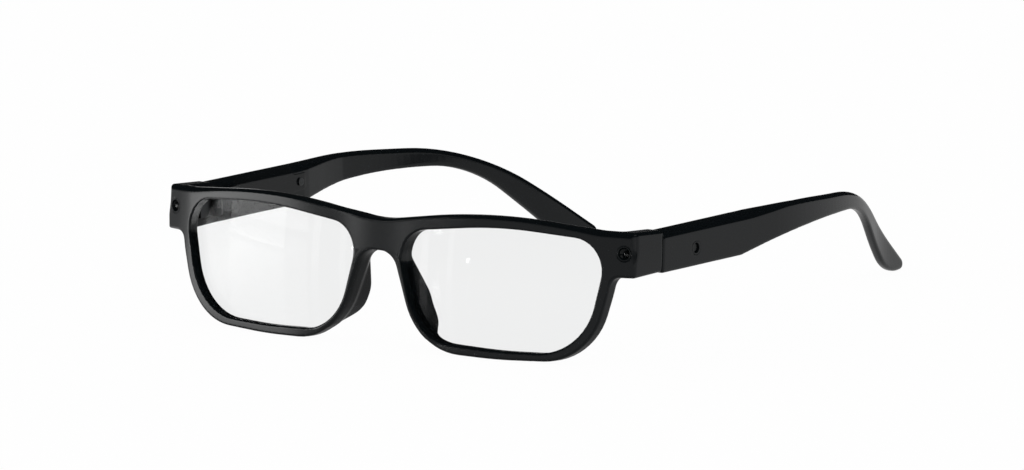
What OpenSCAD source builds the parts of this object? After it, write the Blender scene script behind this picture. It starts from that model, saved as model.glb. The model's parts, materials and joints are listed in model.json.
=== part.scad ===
// Reading glasses with a small lamp at each end of the front.
// Millimetres. +X is the wearer's left, -Y is the front, +Z is up.
// They stand on the two rims and the two temple tips, and z = 0 is that surface.

/* [Bridge and lenses] */
// Gap between the lens openings, at their unrounded top corners
bridge_w = 10.8; // [9:0.2:12]
// Width of a lens opening, between its unrounded top corners
lens_w = 59.3; // [57:0.1:61]
// Height of a lens opening, from its lower edge to the peak of its upper edge
lens_h = 29; // [28:0.1:31]
// How far the opening's peak lies above the bridge's mark
lens_top = 1.85; // [1.4:0.05:2.2]
// Radius of the opening's upper edge at its peak
peak_r = 120; // [100:5:150]
// How far the opening's nose corner lies below its peak
nose_drop = 3.4; // [3:0.1:4]
// How far the opening's temple corner lies below its peak
temple_drop = 1.6; // [1.4:0.1:2.2]
// How far the opening's nose side leans in towards its lower corner
nose_in = 6.9; // [6.6:0.2:8.4]
// How far the opening's temple side leans in towards its lower corner
temple_in = 6.2; // [5:0.2:7]
// Radius of the opening's upper nose corner
nose_r = 7.3; // [6:0.1:8]
// Radius of the opening's upper temple corner
temple_r = 7.7; // [6:0.1:8]
// Radius of the opening's lower nose corner
low_nose_r = 13.6; // [12:0.1:14]
// Radius of the opening's lower temple corner
low_temple_r = 15.7; // [13:0.1:16]
// How much the opening's lower edge bows down, where its arc's tangents meet
low_bow = 0.8; // [0.4:0.1:1.2]
// Radius of that bow
low_bow_r = 150; // [100:10:200]
// How deep a lens sits behind the rim's face at its middle
lens_in = 0.7; // [0.5:0.05:0.8]
// Thickness of a lens at its middle
lens_t = 2.2; // [2.1:0.05:2.4]
// Radius of a lens's front surface
lens_front_r = 150; // [140:5:180]
// Radius of a lens's back surface
lens_back_r = 300; // [260:10:400]
// How far a lens reaches into the rim's groove
lens_bite = 0.8; // [0.6:0.1:1]
// Gap between a lens and its groove
lens_gap = 0.05; // [0.03:0.01:0.1]

/* [Rims and end pieces] */
// Depth of the rims, front to back
rim_d = 3.5; // [3.4:0.1:4]
// Width of the rim below the lens
rim_low = 2.2; // [2:0.05:3]
// Width of the rim on the temple side
rim_side = 2.5; // [2.4:0.1:3]
// Width of the rim on the nose side
rim_nose = 1.4; // [1.2:0.1:1.8]
// How far the bridge's underside lies below its mark
bridge_h = 6.4; // [5.5:0.1:7]
// Radius of the arch under the bridge
bridge_r = 5.4; // [4:0.2:5.6]
// Distance from the middle to the brow line's peak
brow_x = 31; // [28:0.2:33]
// Height of that peak, where its arc's tangents meet
brow_h = 5.2; // [4.8:0.05:5.6]
// Radius of the brow line
brow_r = 158; // [140:1:180]
// Radius at the brow line's ends
brow_end_r = 20; // [10:1:30]
// Dip of the brow line over the bridge, where its arc's tangents meet
bridge_dip = 0.3; // [0.1:0.05:0.6]
// Radius of that dip
bridge_dip_r = 35; // [25:1:45]
// Radius of the front, seen from above
front_r = 328; // [300:1:400]
// Radius of the front at its end pieces, seen from above
end_r = 80; // [60:1:100]
// Width of an end piece outside the lens opening
end_w = 6.3; // [6.2:0.1:7.2]
// Height of an end piece's top over the bridge's mark
end_top = 2.9; // [2.6:0.05:3.1]
// How far the front's top leans back
lean = 4.86; // [3:0.02:6]
// Distance from the bridge to the seam between front and temples
seam_y = 19.05; // [18.8:0.05:20]
// Gap at that seam
seam_gap = 0.25; // [0.2:0.01:0.35]

/* [Nose pads] */
// Height of a nose pad
pad_h = 18; // [16:0.5:19]
// How far a nose pad stands behind the rim
pad_d = 5.4; // [4.8:0.1:6]
// Thickness of a nose pad
pad_t = 2.2; // [1.8:0.1:2.6]
// How far below the bridge's mark a nose pad starts
pad_top = 8.4; // [8:0.1:9.5]

/* [Temples] */
// Height of a temple at the hinge
arm_h = 9.9; // [9.6:0.1:10.8]
// Thickness of a temple at its battery housing
arm_t = 5.1; // [5:0.05:5.6]
// Thickness of a temple past its housing
neck_t = 2.4; // [2.2:0.1:3.2]
// Distance from the seam to where the lower edge rises
housing_l = 31; // [31:0.5:34]
// Radius of the lower edge there
housing_r = 5; // [3:0.5:8]
// How much lower the lower edge lies there than at the seam
housing_drop = 0.3; // [0:0.05:0.5]
// Distance from the seam to where the temple begins to thin
thin_l = 36.6; // [36.6:0.2:40]
// Length over which it thins
thin_run = 17.4; // [14:0.2:22]
// Share of the way to the ear bend at which the upper edge has its crest
top_crest_at = 0.6; // [0.55:0.01:0.66]
// Share of the way from there to the ear bend that the crest's rounding takes
top_crest_round = 0.26; // [0.15:0.01:0.4]
// Drop of the upper edge at its crest
top_crest_drop = 1; // [0.4:0.05:1.2]
// Share of the way to the ear bend at which the lower edge has its crest
crest_at = 0.657; // [0.62:0.001:0.7]
// Share of the lower edge's rise to its crest that the crest's rounding takes
crest_round = 0.625; // [0.5:0.005:0.65]
// Distance of that crest below the upper edge's start
crest_low = 6.4; // [6:0.1:7]
// Distance from the ear bend to the tip
tip_l = 37; // [35:0.1:40]
// Drop of the upper edge at the ear bend
bend_drop = 4.6; // [4.2:0.1:5]
// Depth of the temple at the ear bend
bend_h = 4.6; // [4:0.1:5]
// Radius of the ear bend's upper edge
bend_top_r = 65; // [50:1:70]
// Radius of the ear bend's lower edge
bend_low_r = 33; // [25:1:36]
// Distance from the seam to the tip, where the upper edge's line meets the surface
arm_l = 131.1; // [127:0.1:135]
// Length of the tip's lower edge along the surface, before rounding
tip_foot = 13; // [12.9:0.1:15]
// Share of that edge that its rounding takes
foot_round = 0.6; // [0.5:0.01:0.65]
// Share of what is left of that edge that the tip's rounding takes
tip_round = 0.9; // [0.7:0.01:0.95]
// Distance from the seam to where the temple turns in
turn_l = 44.5; // [40:0.5:50]
// Radius of that turn, seen from above
turn_r = 127; // [115:1:135]
// Angle of that turn
turn_a = 24.8; // [20:0.2:26]
// Length of the straight part after that turn
turn_straight = 9; // [4:0.5:12]
// Radius of the turn back towards the tip
back_r = 85; // [70:1:120]
// Angle of the turn back
back_a = 9.9; // [6:0.1:11]

/* [Lamps] */
// Diameter of an LED
led_d = 2.2; // [1.8:0.1:2.4]
// Diameter of the recess round an LED
led_recess_d = 2.9; // [2.7:0.1:3.2]
// Depth of that recess
led_recess = 1; // [0.6:0.1:1.3]
// Distance from the end piece's side to the LED
led_in = 2.5; // [2.3:0.1:2.7]
// Distance of the LED below the bridge's mark
led_low = 2.1; // [1.6:0.1:2.8]
// Thickness of the lamp's board
led_board_t = 0.6; // [0.4:0.1:0.8]

/* [Hinges] */
// Outer diameter of a hinge's knuckles
knuckle_d = 2.6; // [2.5:0.1:2.8]
// Height of a hinge
hinge_h = 6; // [5.4:0.2:6.4]
// Diameter of a hinge screw
hinge_screw_d = 1.4; // [1.2:0.1:1.5]
// Running gap round a hinge screw
hinge_gap = 0.04; // [0.02:0.01:0.08]
// Diameter of a hinge screw's head
hinge_head_d = 2.2; // [2:0.1:2.4]
// Thickness of a hinge's leaves
leaf_t = 0.8; // [0.6:0.1:0.9]
// Length of a front hinge leaf
front_leaf_l = 4.4; // [3.8:0.2:4.8]
// Length of a temple hinge leaf
temple_leaf_l = 7; // [6:0.2:7.4]

/* [Battery housing] */
// Diameter of a button cell
cell_d = 7.9; // [7.5:0.1:7.9]
// Thickness of a button cell
cell_t = 2.6; // [2.1:0.1:2.6]
// Outer wall of the temple at the housing
wall = 0.8; // [0.7:0.05:0.9]
// Thickness of the battery cover
cover_t = 0.8; // [0.7:0.05:0.9]
// Gap round the covers
cover_gap = 0.08; // [0.05:0.01:0.12]
// Thickness of the sheet metal contacts
contact_t = 0.25; // [0.2:0.05:0.3]
// Length of the cover's screw tab
tab_l = 5; // [4.6:0.2:5.6]
// Diameter of the cover screw
cover_screw_d = 1.1; // [1:0.1:1.2]
// Diameter of the cover screw's head
cover_head_d = 2; // [1.8:0.1:2.2]

/* [Button and board] */
// Diameter of the button
button_d = 2.3; // [2:0.1:2.6]
// Gap round the button
button_gap = 0.07; // [0.05:0.01:0.1]
// Travel of the button
button_travel = 0.3; // [0.2:0.05:0.35]
// How deep the button sits in its hole
button_sunk = 0.1; // [0:0.05:0.3]
// Distance from the seam to the button
button_l = 12.8; // [12:0.1:13]
// Distance of the button below the temple's upper edge
button_low = 6.1; // [5.4:0.1:6.4]
// Thickness of the circuit board
board_t = 0.6; // [0.5:0.05:0.7]
// Width of the switch
switch_w = 3; // [2.6:0.1:3.2]
// Diameter of a contact pin
pin_d = 1; // [0.8:0.1:1.1]

/* [Hidden] */
$fn = 48;

// Points on each rounded corner of an outline
corner_n = 8;
// A length past any face that a cut has to clear
past = 1;
// Smallest gap left between two fixed pieces that meet
touch = 0.03;

// Half of the front's width
half_w = bridge_w/2 + lens_w + end_w;
// Where the lens opening's nose and temple corners lie
open_x0 = bridge_w/2;
open_x1 = open_x0 + lens_w;
open_low = lens_top - lens_h;
lens_mid = (open_x0 + open_x1)/2;
lens_mid_h = lens_top - lens_h/2;
// Where the end pieces begin, and where their tighter curve begins
end_x0 = open_x1 + rim_side - 2.1;
curve_x = open_x1 - 2.5;
// Inner face of the temples and end pieces
in_x = half_w - arm_t;

// A unit vector
function unit(v) = v/norm(v);

// An outline whose corners [x, y, r] are rounded with arcs of radius r
function rounded(c) = [
    for (i = [0:len(c) - 1])
        let (p = [c[i][0], c[i][1]], r = c[i][2],
            a = c[(i + len(c) - 1) % len(c)], b = c[(i + 1) % len(c)],
            u = unit([a[0], a[1]] - p), v = unit([b[0], b[1]] - p),
            half = acos(max(-1, min(1, u*v)))/2)
        if (r <= 0 || norm(u + v) < 0.001) p
        else
            let (o = p + unit(u + v)*r/sin(half), s = p + u*r/tan(half) - o, e = p + v*r/tan(half) - o,
                a0 = atan2(s[1], s[0]), turn = atan2(s[0]*e[1] - s[1]*e[0], s*e))
            for (j = [0:corner_n]) o + r*[cos(a0 + turn*j/corner_n), sin(a0 + turn*j/corner_n)]];

// The radius that rounds corner p, between its neighbours a and b, from a distance t before it
function round_from(a, p, b, t) = t*tan(acos(unit(a - p)*unit(b - p))/2);

// An outline moved outwards by d, for points that run clockwise
function grown(p, d) = [
    for (i = [0:len(p) - 1])
        let (a = p[(i + len(p) - 1) % len(p)], b = p[(i + 1) % len(p)], t = unit(b - a))
        p[i] + d*[-t[1], t[0]]];

// How far the front face lies behind the bridge at x
curve_a = asin(curve_x/front_r);
function sag(x) = abs(x) <= curve_x ? front_r - sqrt(front_r*front_r - x*x)
    : let (s = sin(curve_a) + (abs(x) - curve_x)/end_r)
        front_r*(1 - cos(curve_a)) + end_r*(cos(curve_a) - cos(asin(s)));

// The lens opening on the +X side, clockwise as seen from the front
opening = rounded([
    [open_x0, lens_top - nose_drop, nose_r],
    [lens_mid, lens_top, peak_r],
    [open_x1, lens_top - temple_drop, temple_r],
    [open_x1 - temple_in, open_low, low_temple_r],
    [lens_mid, open_low - low_bow, low_bow_r],
    [open_x0 + nose_in, open_low, low_nose_r]]);

// Half of the outer outline, from the top of the bridge to its underside
rim_bottom = open_low - rim_low;
end_low = end_top - arm_h - 2.45;
half_outline = [
    [brow_x, brow_h, brow_r],
    [curve_x, end_top, brow_end_r],
    [half_w, end_top, 0.8],
    [half_w, end_low, 0.4],
    [end_x0, end_low, 0.4],
    [open_x1 - temple_in + rim_side - 1.3, rim_bottom + 0.7, low_temple_r + 0.6],
    [lens_mid, rim_bottom + 0.35 - low_bow, low_bow_r],
    [open_x0 + nose_in + 2 - rim_nose, rim_bottom, low_nose_r + 3],
    [open_x0 + 0.85 - rim_nose, -bridge_h, bridge_r]];
outline = rounded(concat([[0, bridge_dip, bridge_dip_r]], half_outline,
    [for (i = [len(half_outline) - 1:-1:0])
        [-half_outline[i][0], half_outline[i][1], half_outline[i][2]]]));

// Height of the surface below the bridge's mark: the rims' lowest edge, at their backs
lift = -min([for (p = outline) p[1]*cos(lean) - (sag(p[0]) + rim_d)*sin(lean)]);

// The end piece's top and the temple's edges, where they meet at the seam
arm_top = end_top*cos(lean) - seam_y*sin(lean);
arm_low = arm_top - arm_h;
arm_mid = (arm_top + arm_low)/2;
function seam_at(z) = (seam_y + z*sin(lean))/cos(lean);
arm_y = seam_at(arm_mid) + seam_gap;

// Hinge axis, inside the inner face
axis_x = in_x - knuckle_d/2 - 0.1;
axis_y = arm_y - seam_gap/2;
knuckle_gap = 0.05;
knuckle_h = (hinge_h - 2*knuckle_gap)/3;

// Housing inside the temple
bay_x0 = in_x + cover_t;
bay_x1 = half_w - wall;
bay_h = cell_d + 0.16;
skin_l = 8.6;
cell_y0 = arm_y + 15;
cell_pitch = cell_d + 0.15;
bay_y1 = cell_y0 + cell_d + cell_pitch + 0.15;
front_wall = 1.6;
cover_y0 = arm_y + skin_l;
tab_h = 4.4;
tab_y = bay_y1 + 0.4 + tab_l/2;

// The lamp's chamber inside the end piece
lamp_x = half_w - led_in;
chamber_y0 = sag(lamp_x) + led_recess + 3.3;
chamber_y1 = seam_y - 1.2;
chamber_h = 7;
chamber_w = 3.4;
chamber_x0 = bay_x0;
flange_t = 0.5;

// The temple's side view, from the seam along the top to the tip and back below
bend_l = arm_l - tip_l;
top_start = [seam_at(arm_top) + seam_gap, arm_top];
top_crest = [arm_y + top_crest_at*bend_l, arm_top - top_crest_drop];
top_bend = [arm_y + bend_l, arm_top - bend_drop];
low_bend = top_bend - [0, bend_h];
low_crest = [arm_y + crest_at*bend_l, arm_top - crest_low];
low_end = [arm_y + housing_l, arm_low - housing_drop];
low_start = [seam_at(arm_low) + seam_gap, arm_low];
top_crest_r = round_from(top_start, top_crest, top_bend, top_crest_round*norm(top_bend - top_crest));
tip = [arm_y + arm_l, -lift];
foot = tip - [tip_foot, 0];
foot_r = round_from(tip, foot, low_bend, foot_round*tip_foot);
tip_r = round_from(top_bend, tip, foot, tip_round*(1 - foot_round)*tip_foot);
crest_r = round_from(low_end, low_crest, low_bend, crest_round*norm(low_crest - low_end));
arm_side = rounded([
    [top_start[0], top_start[1], 0.3],
    [top_crest[0], top_crest[1], top_crest_r],
    [top_bend[0], top_bend[1], bend_top_r],
    [tip[0], tip[1], tip_r],
    [foot[0], foot[1], foot_r],
    [low_bend[0], low_bend[1], bend_low_r],
    [low_crest[0], low_crest[1], crest_r],
    [low_end[0], low_end[1], housing_r],
    [low_start[0], low_start[1], 0.3]]);

// Half of the distance from the front's foremost point to the tips
mid_y = (min([for (p = outline) sag(p[0])*cos(lean) + p[1]*sin(lean)]) + max([for (p = arm_side) p[0]]))/2;

module on_floor() translate([0, -mid_y, lift]) children();
module leaning() on_floor() rotate([-lean, 0, 0]) children();
module right_side() mirror([1, 0, 0]) children();

// A prism along Y from an outline in X and Z
module along_y(pts, y0, y1) translate([0, y1, 0]) rotate([90, 0, 0]) linear_extrude(y1 - y0) polygon(pts);
// A prism along X from an outline in Y and Z
module along_x(pts, x0, x1) translate([x0, 0, 0]) rotate([90, 0, 90]) linear_extrude(x1 - x0) polygon(pts);
// A cylinder along Y, or along X
module rod_y(x, z, d, y0, y1) translate([x, y1, z]) rotate([90, 0, 0]) cylinder(d=d, h=y1 - y0);
module rod_x(y, z, d, x0, x1) translate([x0, y, z]) rotate([0, 90, 0]) cylinder(d=d, h=x1 - x0);
module block(a, b) translate(a) cube(b - a);

// The front's plan: its curve, its depth and the end pieces that run back past the seam
front_steps = 26;
arch_low = -bridge_h - 1.3;
function front_x(i) = (half_w - 0.9)*i/front_steps;
back_steps = 20;
back_x = in_x - 6;
half_plan = concat(
    [for (i = [0:front_steps]) [front_x(i), sag(front_x(i)), 0]],
    [[half_w, sag(half_w), 0.9]],
    [[half_w, seam_y + past, 0], [in_x, seam_y + past, 0]],
    [[in_x, sag(in_x) + rim_d - 1.2, 6]],
    [for (i = [back_steps:-1:0]) [back_x*i/back_steps, sag(back_x*i/back_steps) + rim_d, 0]]);
end_plan = rounded(half_plan);
rim_plan = concat([for (i = [0:front_steps]) [front_x(i), sag(front_x(i))]],
    [for (i = [front_steps:-1:0]) [front_x(i), sag(front_x(i)) + rim_d]]);

// The front's solid on the +X side: the band of the rims, and the end piece behind it
module half_front() intersection() {
    along_y(outline, -past, seam_y + 2*past);
    union() {
        translate([0, 0, rim_bottom - past]) linear_extrude(brow_h - rim_bottom + 2*past) polygon(rim_plan);
        translate([0, 0, arch_low]) linear_extrude(brow_h - arch_low + past) polygon(end_plan);
    }
}

// A lens, grown by a gap where the groove is wanted
module lens_form(gap) {
    a = asin(lens_mid/front_r);
    intersection() {
        along_y(grown(opening, lens_bite + gap), -6, 12);
        translate([lens_mid, sag(lens_mid) + lens_in, lens_mid_h])
            rotate([0, 0, a]) difference() {
                translate([0, lens_front_r, 0]) sphere(lens_front_r + gap, $fn=600);
                translate([0, lens_t + lens_back_r, 0]) sphere(lens_back_r - gap, $fn=600);
            }
    }
}

// The nose side of the outline, moved in by d
function nose_side(d) = [for (p = outline) if (p[0] > 2 && p[0] < 24 && p[1] < -bridge_h - 0.4) [p[0] + d, p[1]]];

// One nose pad, a fin behind the rim's nose side
module nose_pad() {
    low = pad_top + pad_h;
    outer = nose_side(0.05);
    inner = nose_side(pad_t);
    intersection() {
        along_y(concat(outer, [for (i = [len(inner) - 1:-1:0]) inner[i]]), 0.8, 14);
        along_x(rounded([[0.5, -pad_top, 0], [rim_d + 0.3, -pad_top, 2.5],
            [rim_d + pad_d, -pad_top - pad_h*0.47, 7], [rim_d + pad_d, -pad_top - pad_h*0.8, 4],
            [rim_d + 0.4, -low, 2.5], [0.5, -low, 0]]), 0, 24);
    }
}

// What is taken out of the front on the +X side, in its leaning frame
module front_cuts() {
    along_y(opening, -9, 14);
    lens_form(lens_gap);
    face = sag(lamp_x);
    rod_y(lamp_x, -led_low, led_recess_d, -6, face + led_recess);
    rod_y(lamp_x, -led_low, led_d + 0.1, face, chamber_y0 + past);
    rod_y(lamp_x, -led_low, led_d + 0.9, chamber_y0 - flange_t - touch, chamber_y0 + past);
}

// What is taken out of the end piece on the +X side, upright
module end_cuts() {
    // lower face, level with the temple's lower edge
    block([end_x0, -20, arm_low - 12], [half_w + past, seam_y + 12, arm_low]);
    block([in_x - 12, sag(in_x) + rim_d + past, arm_low - 12], [end_x0 + past, seam_y + 12, arm_low]);
    // lamp chamber, and the rebate for its cap
    block([chamber_x0 - past, chamber_y0, arm_mid - chamber_h/2],
        [chamber_x0 + chamber_w, chamber_y1, arm_mid + chamber_h/2]);
    block([in_x - 12, chamber_y0 - 0.8, arm_mid - chamber_h/2 - 0.7],
        [chamber_x0, chamber_y1 + 0.4, arm_mid + chamber_h/2 + 0.7]);
    for (z = pin_z) rod_y(lamp_x, z, pin_d + 0.7, chamber_y1 - past, seam_y + past);
}

pin_z = [arm_mid - 2.4, arm_mid + 2.4];

module front_frame() color([0.02, 0.02, 0.022]) {
    difference() {
        leaning() union() {
            half_front();
            right_side() half_front();
            nose_pad();
            right_side() nose_pad();
        }
        leaning() {
            front_cuts();
            right_side() front_cuts();
            block([-half_w - past, seam_y, rim_bottom - past], [half_w + past, seam_y + 3*past, brow_h + past]);
        }
        on_floor() {
            end_cuts();
            right_side() end_cuts();
        }
    }
}

module lens() color([0.85, 0.9, 0.92, 0.4]) leaning() lens_form(0);

// An LED: dome, body and flange, turned about its own axis
module led() color([0.95, 0.95, 0.85]) leaning()
    translate([lamp_x, sag(lamp_x) + led_recess*0.45, -led_low]) rotate([-90, 0, 0])
        rotate_extrude() {
            end = chamber_y0 - sag(lamp_x) - led_recess*0.45;
            intersection() {
                translate([0, led_d/2]) circle(d=led_d);
                square([led_d, led_d/2]);
            }
            translate([0, led_d/2]) square([led_d/2, end - led_d/2]);
            translate([0, end - flange_t]) square([led_d/2 + 0.4, flange_t]);
        }

// The lamp's board, behind the LED
module led_board() color([0.05, 0.3, 0.12]) on_floor()
    block([chamber_x0 + 0.1, chamber_y0 + 0.32, arm_mid - chamber_h/2 + 0.1],
        [chamber_x0 + chamber_w - 0.1, chamber_y0 + 0.32 + led_board_t, arm_mid + chamber_h/2 - 0.1]);

// The cover over the lamp's chamber, which carries the front hinge leaf
module endpiece_cap() color([0.03, 0.03, 0.033]) on_floor()
    block([in_x, chamber_y0 - 0.8 + cover_gap, arm_mid - chamber_h/2 - 0.7 + cover_gap],
        [chamber_x0 - touch, chamber_y1 + 0.4 - cover_gap, arm_mid + chamber_h/2 + 0.7 - cover_gap]);

// Two round contacts set in the end piece's seam face
module contact_pads() color([0.8, 0.65, 0.3]) on_floor()
    for (z = pin_z) {
        rod_y(lamp_x, z, pin_d + 0.6, chamber_y1 - 0.4, seam_at(z) - 0.1);
        rod_y(lamp_x, z, pin_d*0.6, chamber_y0 + 0.32 + led_board_t + touch, chamber_y1 - 0.3);
    }

// One knuckle of a hinge, from z0 upwards
module knuckle(z0) difference() {
    union() {
        translate([axis_x, axis_y, z0]) cylinder(d=knuckle_d, h=knuckle_h);
        children();
    }
    translate([axis_x, axis_y, z0 - past]) cylinder(d=hinge_screw_d + 2*hinge_gap, h=knuckle_h + 2*past);
}

hinge_low = arm_mid - hinge_h/2;
function knuckle_z(i) = hinge_low + i*(knuckle_h + knuckle_gap);

// The front leaf: a plate on the end piece's cap, with the upper and lower knuckles
module front_hinge_leaf() color([0.6, 0.6, 0.62]) on_floor() {
    x0 = in_x - leaf_t - touch;
    y1 = axis_y - knuckle_d/2 - 0.15;
    block([x0, y1 - front_leaf_l, hinge_low], [in_x - touch, y1, hinge_low + hinge_h]);
    for (i = [0, 2]) knuckle(knuckle_z(i))
        block([x0, y1 - 0.5, knuckle_z(i)], [axis_x + knuckle_d/2, axis_y, knuckle_z(i) + knuckle_h]);
}

// The temple leaf: a plate on the temple's inner face, with the middle knuckle
module temple_hinge_leaf() color([0.6, 0.6, 0.62]) on_floor() {
    x0 = in_x - leaf_t - touch;
    y0 = axis_y + knuckle_d/2 + 0.15;
    block([x0, y0, hinge_low], [in_x - touch, y0 + temple_leaf_l, hinge_low + hinge_h]);
    knuckle(knuckle_z(1))
        block([x0, axis_y, knuckle_z(1)], [axis_x + knuckle_d/2, y0 + 0.5, knuckle_z(1) + knuckle_h]);
}

// The screw that is the hinge's pin, with a slotted head on top
module hinge_screw() color([0.7, 0.7, 0.72]) on_floor()
    translate([axis_x, axis_y, 0]) difference() {
        union() {
            translate([0, 0, hinge_low + 0.05]) cylinder(d=hinge_screw_d, h=hinge_h);
            translate([0, 0, hinge_low + hinge_h + touch]) cylinder(d=hinge_head_d, h=0.7);
        }
        translate([-2, -0.15, hinge_low + hinge_h + 0.35]) cube([4, 0.3, past]);
    }

// How far the temple's outer face has turned in at a distance y from the seam, and its angle there
turn_y = turn_l + turn_r*sin(turn_a);
hold_y = turn_y + turn_straight;
back_y = hold_y + back_r*(sin(turn_a) - sin(turn_a - back_a));
function turn_at(y) = y < turn_l ? 0 : y < turn_y ? asin((y - turn_l)/turn_r) : y < hold_y ? turn_a
    : y < back_y ? asin(sin(turn_a) - (y - hold_y)/back_r) : turn_a - back_a;
function turned_in(y) = y < turn_l ? 0
    : y < turn_y ? turn_r*(1 - cos(turn_at(y)))
    : y < hold_y ? turned_in(turn_y - 0.001) + (y - turn_y)*tan(turn_a)
    : y < back_y ? turned_in(hold_y - 0.001) + back_r*(cos(turn_at(y)) - cos(turn_a))
    : turned_in(back_y - 0.001) + (y - back_y)*tan(turn_a - back_a);
function arm_thick(y) = y < thin_l ? arm_t
    : y < thin_l + thin_run ? arm_t - (arm_t - neck_t)*(y - thin_l)/thin_run : neck_t;
stations = [0, thin_l, for (y = [thin_l + 3:3:arm_l]) y, arm_l + 2];
arm_plan = concat(
    [for (y = stations) [half_w - turned_in(y), arm_y + y]],
    [for (i = [len(stations) - 1:-1:0]) let (y = stations[i])
        [half_w - turned_in(y) - arm_thick(y)/cos(turn_at(y)), arm_y + y]]);

// The cover's outline on the temple's inner face, grown by a gap
module cover_form(x0, x1, gap) {
    block([x0, cover_y0 - gap, arm_mid - bay_h/2 - 0.35 - gap],
        [x1, bay_y1 + 0.4 + gap, arm_mid + bay_h/2 + 0.35 + gap]);
    block([x0, bay_y1, arm_mid - tab_h/2 - gap], [x1, bay_y1 + 0.4 + tab_l + gap, arm_mid + tab_h/2 + gap]);
}

button_y = arm_y + button_l;
button_z = arm_top - button_low;

module temple_arm() color([0.03, 0.03, 0.033]) on_floor()
    difference() {
        intersection() {
            along_x(arm_side, 20, half_w + 5);
            translate([0, 0, -lift - past]) linear_extrude(lift + 20) polygon(arm_plan);
        }
        // housing: its deep part, and the way in behind the inner skin
        block([bay_x0, arm_y + front_wall, arm_mid - bay_h/2], [bay_x1, bay_y1, arm_mid + bay_h/2]);
        cover_form(in_x - past, bay_x0, cover_gap);
        // button hole, pilot hole of the cover screw, and the contact pins' holes
        rod_x(button_y, button_z, button_d + 2*button_gap, bay_x1 - past, half_w + past);
        rod_x(tab_y, arm_mid, cover_screw_d + 0.04, in_x, in_x + 3.6);
        for (z = pin_z) rod_y(lamp_x, z, pin_d + 0.1, arm_y - past, arm_y + front_wall + past);
    }

// The battery cover, with its screw tab and countersink
module battery_cover() color([0.04, 0.04, 0.043]) on_floor()
    difference() {
        cover_form(in_x, bay_x0 - touch, 0);
        rod_x(tab_y, arm_mid, cover_screw_d + 0.2, in_x - past, bay_x0 + past);
        rod_x(tab_y, arm_mid, cover_head_d + 0.1, in_x - past, in_x + 0.4);
    }

module cover_screw() color([0.7, 0.7, 0.72]) on_floor()
    difference() {
        union() {
            rod_x(tab_y, arm_mid, cover_head_d, in_x + 0.02, in_x + 0.4 - touch);
            rod_x(tab_y, arm_mid, cover_screw_d, in_x + 0.2, in_x + 3.4);
        }
        for (a = [0, 90]) translate([in_x, tab_y, arm_mid]) rotate([a, 0, 0])
            translate([-past, -0.12, -0.6]) cube([past + 0.2, 0.24, 1.2]);
    }

// Where the cells lie between the outer link plate and the cover's contacts
cell_x1 = bay_x1 - contact_t - 2*touch;
cell_x0 = cell_x1 - cell_t;
function cell_mid(i) = cell_y0 + cell_d/2 + i*cell_pitch;

module battery_cells() color([0.75, 0.75, 0.78]) on_floor()
    for (i = [0, 1]) {
        rod_x(cell_mid(i), arm_mid, cell_d, cell_x0 + 0.5, cell_x1);
        rod_x(cell_mid(i), arm_mid, cell_d - 1.2, cell_x0, cell_x0 + 0.6);
    }

// The link plate outside the cells, and a sprung contact with a dimple inside each
module battery_contacts() color([0.75, 0.7, 0.55]) on_floor() {
    block([bay_x1 - touch - contact_t, cell_mid(0) - 2, arm_mid - 2], [bay_x1 - touch, cell_mid(1) + 2, arm_mid + 2]);
    x0 = bay_x0 + touch;
    for (i = [0, 1]) {
        block([x0, cell_mid(i) - 3, arm_mid - 1.5], [x0 + contact_t, cell_mid(i) + 3, arm_mid + 1.5]);
        rod_x(cell_mid(i), arm_mid, 1.6, x0 + contact_t/2, cell_x0 - touch);
    }
}

board_x0 = bay_x0 + 0.2;
board_x1 = board_x0 + board_t;
board_y0 = arm_y + front_wall + 0.3;
board_y1 = cell_y0 - 0.3;
module circuit_board() color([0.05, 0.3, 0.12]) on_floor()
    block([board_x0, board_y0, arm_mid - bay_h/2 + 0.2], [board_x1, board_y1, arm_mid + bay_h/2 - 0.2]);

// The switch stands on the board, one travel below the button's stem
switch_x1 = bay_x1 - 0.5 - button_travel - 0.12;
module switch_body() color([0.1, 0.1, 0.1]) on_floor() {
    block([board_x1 + touch, button_y - switch_w/2, button_z - switch_w/2],
        [switch_x1 - 0.4, button_y + switch_w/2, button_z + switch_w/2]);
    rod_x(button_y, button_z, 1.3, switch_x1 - 0.6, switch_x1);
}

// The button, with a flange that keeps it in
module power_button() color([0.06, 0.06, 0.065]) on_floor() {
    rod_x(button_y, button_z, button_d, bay_x1 - 0.4, half_w - button_sunk);
    rod_x(button_y, button_z, button_d + 0.9, bay_x1 - 0.45, bay_x1 - 0.05);
}

// Two sprung pins that meet the front's contact pads when the temple is open
module contact_pins() color([0.8, 0.65, 0.3]) on_floor()
    for (z = pin_z) {
        rod_y(lamp_x, z, pin_d, seam_at(z) - 0.06, arm_y + front_wall + 0.2);
        rod_y(lamp_x, z, pin_d*1.5, arm_y + front_wall + touch, arm_y + front_wall + 1.6);
    }

front_frame();
lens();  // lens_left
right_side() lens();  // lens_right
led();  // led_left
right_side() led();  // led_right
led_board();  // led_board_left
right_side() led_board();  // led_board_right
endpiece_cap();  // endpiece_cap_left
right_side() endpiece_cap();  // endpiece_cap_right
front_hinge_leaf();  // front_hinge_leaf_left
right_side() front_hinge_leaf();  // front_hinge_leaf_right
hinge_screw();  // hinge_screw_left
right_side() hinge_screw();  // hinge_screw_right
contact_pads();  // contact_pads_left
right_side() contact_pads();  // contact_pads_right
temple_arm();  // temple_arm_left
right_side() temple_arm();  // temple_arm_right
temple_hinge_leaf();  // temple_hinge_leaf_left
right_side() temple_hinge_leaf();  // temple_hinge_leaf_right
battery_cover();  // battery_cover_left
right_side() battery_cover();  // battery_cover_right
cover_screw();  // cover_screw_left
right_side() cover_screw();  // cover_screw_right
battery_cells();  // battery_cells_left
right_side() battery_cells();  // battery_cells_right
battery_contacts();  // battery_contacts_left
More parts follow.
